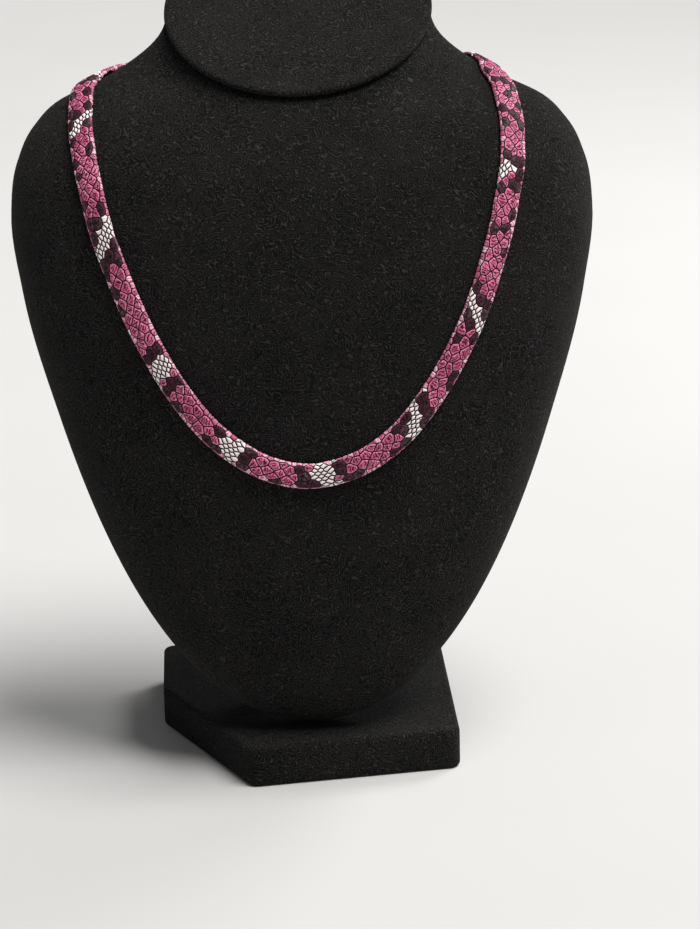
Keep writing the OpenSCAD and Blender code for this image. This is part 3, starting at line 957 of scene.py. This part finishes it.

# %% [markdown]
# Grooves hold the dark. Between the dark scales the ground has a little pink in it. A
# painted highlight runs along both folded edges, stronger on the lower one, which faces
# away from the light.

# %% Grooves, painted fold highlight and shine
FOLD_AT = 4.55
ground = r.mix(r.remap(grain, 0.45, 0.70), rgb(0.003, 0.0008, 0.0014), rgb(0.120, 0.024, 0.050))
floor_colour = r.mix(is_kind(DARK), rgb(0.010, 0.0022, 0.0045), ground)
on_scale = r.math("ADD", level_in, r.math("MULTIPLY", is_kind(DARK), 0.10))
on_scale = r.math("ADD", on_scale, r.math("MULTIPLY", is_kind(PALE), 0.16))
colour = r.mix(r.remap(on_scale, 0.18, 0.88), floor_colour, colour)
# painted highlight: a pale pink line along both folded edges of the band, stronger on the lower
# fold, which faces away from the light
fold = r.math("ABSOLUTE", r.math("SUBTRACT", r.math("ABSOLUTE", round_mm), FOLD_AT))
fold_highlight = r.math("MULTIPLY", r.remap(fold, 0.55, 0.10), r.remap(grain, 0.35, 0.60))
fold_highlight = r.math("MULTIPLY", fold_highlight, r.remap(round_mm, -2.0, 2.0, 0.80, 0.35))
colour = r.mix(fold_highlight, colour, rgb(0.800, 0.400, 0.520))
relief_height = r.math("ADD", r.math("MULTIPLY", grain, 0.5), r.math("MULTIPLY", striae, 0.8))
roughness = r.math("ADD", r.remap(grain, 0.3, 0.7, 0.38, 0.58),
                   r.math("MULTIPLY", is_kind(DARK), 0.10))
r.set(Base_Color=colour, Roughness=roughness, Specular_IOR_Level=0.12,
      Normal=r.bump(relief_height, 0.55, 0.00010))
skin_leather = r.material
print("snakeskin nodes", len(r.nodes))

# %% [markdown]
# ## Wrapping the band
# Before the sheet is bent it keeps its flat places as a UV map, so that the grain
# follows the band. Then every point goes to its place on the route. The two long edges
# meet under the band, where they are merged into a seam, and the ends are closed.

# %% Wrap the sheet round the route
uv = sheet.loops.layers.uv.new("flat")
for face in sheet.faces:
    for loop in face.loops:
        loop[uv].uv = loop.vert.co.xy
SHEET_DEPTH, SEAM_GAP = -0.10 * MM, 0.00002
place_vertices(sheet, wrap(vertex_places(sheet) * MM, SHEET_DEPTH))
bmesh.ops.remove_doubles(sheet, verts=[v for v in sheet.verts if v.is_boundary],
                         dist=SEAM_GAP)
bmesh.ops.holes_fill(sheet, edges=[e for e in sheet.edges if e.is_boundary], sides=0)
print("open edges left", sum(e.is_boundary for e in sheet.edges))
band = finish_piece(sheet, "snakeskin_band", skin_leather, "band")

# %% [markdown]
# ## The clasp
# The clasp is at the back, where the picture doesn't show it, so it is one plain sleeve
# over both ends of the band. Its steel is brushed along the band.

# %% Brushed steel for the clasp
r = Recipe("clasp_steel")
scratch = r.noise(r.scaled_point((300.0, 2500.0, 2500.0)), 1.0, 3.0, 0.6)
smudge = r.noise(r.object_point(), 220.0, 2.0)
roughness = r.math("ADD", r.remap(scratch, 0.2, 0.8, 0.14, 0.30),
                   r.math("MULTIPLY", smudge, 0.10))
r.set(Base_Color=r.mix(smudge, rgb(0.50, 0.50, 0.51), rgb(0.68, 0.68, 0.69)),
      Metallic=1.0, Roughness=roughness, Normal=r.bump(scratch, 0.15, 0.00003))
print("steel nodes", len(r.nodes))

# %% [markdown]
# The sleeve is swept along the band: each column of a grid is one station, with its own
# distance from the sleeve's middle and its own thickness. Rounded lips and a fine line
# round the middle make it read as metal.

# %% Sweep the clasp
CLASP_ROUND = 72
CLASP_PROFILE = [
    # from the middle in mm, outside the band in mm
    (5.0, 0.20), (9.7, 0.20), (9.9, 0.25), (10.0, 0.45), (10.0, 0.75), (9.93, 0.90),
    (9.75, 1.00), (9.4, 1.00), (7.5, 1.00), (7.2, 0.90), (6.9, 1.00), (5.0, 1.00),
    (2.5, 1.00), (0.25, 1.00), (0.0, 0.86),
]
stations_out = [(-a, o) for a, o in CLASP_PROFILE] + [(a, o) for a, o in CLASP_PROFILE[-2::-1]]
bm = bmesh.new()
bmesh.ops.create_grid(bm, x_segments=len(stations_out) - 1, y_segments=CLASP_ROUND, size=1)
flat = vertex_places(bm)
column = np.round((flat[:, 0] + 1) / 2 * (len(stations_out) - 1)).astype(int)
along_out = np.array(stations_out)[column] * MM
flat = np.stack([LOOP / 2 + along_out[:, 0], flat[:, 1] * GIRTH / 2, 0 * flat[:, 1]], -1)
place_vertices(bm, wrap(flat, along_out[:, 1]))
bmesh.ops.remove_doubles(bm, verts=bm.verts, dist=2e-6)
bmesh.ops.holes_fill(bm, edges=[e for e in bm.edges if e.is_boundary], sides=0)
clasp = finish_piece(bm, "clasp_sleeve", r.material, "clasp")
clasp.data.set_sharp_from_angle(angle=math.radians(60))

# %% [markdown]
# ## Floor and light
# A plain pale floor, a big soft light high on the right, and a faint one behind that
# catches the nap along the shoulders. The room itself gives a low, even light.

# %% Stage
FLOOR_HALF, ROOM_LIGHT = 4, 0.18
bm = bmesh.new()
bmesh.ops.create_grid(bm, x_segments=8, y_segments=8, size=FLOOR_HALF)
floor_mesh = bpy.data.meshes.new("floor")
bm.to_mesh(floor_mesh)
bm.free()
r = Recipe("pale_floor")
r.set(Base_Color=r.mix(r.noise(r.object_point(), 6.0, 2.0), rgb(0.52, 0.515, 0.51),
                       rgb(0.55, 0.545, 0.54)), Roughness=0.6, Specular_IOR_Level=0.3)
floor_mesh.materials.append(r.material)
floor = bpy.data.objects.new("floor", floor_mesh)
bpy.context.scene.collection.objects.link(floor)


def add_light(name, kind, heading, energy, colour):
    """Adds a light that shines in one direction."""
    light = bpy.data.objects.new(name, bpy.data.lights.new(name, kind))
    light.data.energy, light.data.color = energy, colour
    light.rotation_euler = heading.to_track_quat("-Z", "Y").to_euler()
    bpy.context.scene.collection.objects.link(light)
    return light


BUST_MIDDLE, SHOULDER_PLACE = Vector((0, 0, 0.12)), Vector((0.9, 0.8, 0.9))
shoulder_light = add_light("rim", "AREA", BUST_MIDDLE - SHOULDER_PLACE, 10, (1, 1, 1))
shoulder_light.location = SHOULDER_PLACE
shoulder_light.data.shape, shoulder_light.data.size = "DISK", 0.6
KEY_HEADING = Vector((-0.60, 0.22, -1.48))
key = add_light("key", "SUN", KEY_HEADING, 4.3, (1, 0.985, 0.965))
key.data.angle = math.radians(35)
world = bpy.data.worlds.new("room")
world.use_nodes = True
world.node_tree.nodes["Background"].inputs["Color"].default_value = (1, 1, 1, 1)
world.node_tree.nodes["Background"].inputs["Strength"].default_value = ROOM_LIGHT
bpy.context.scene.world = world
bpy.context.scene.view_settings.view_transform = "Standard"

# %% [markdown]
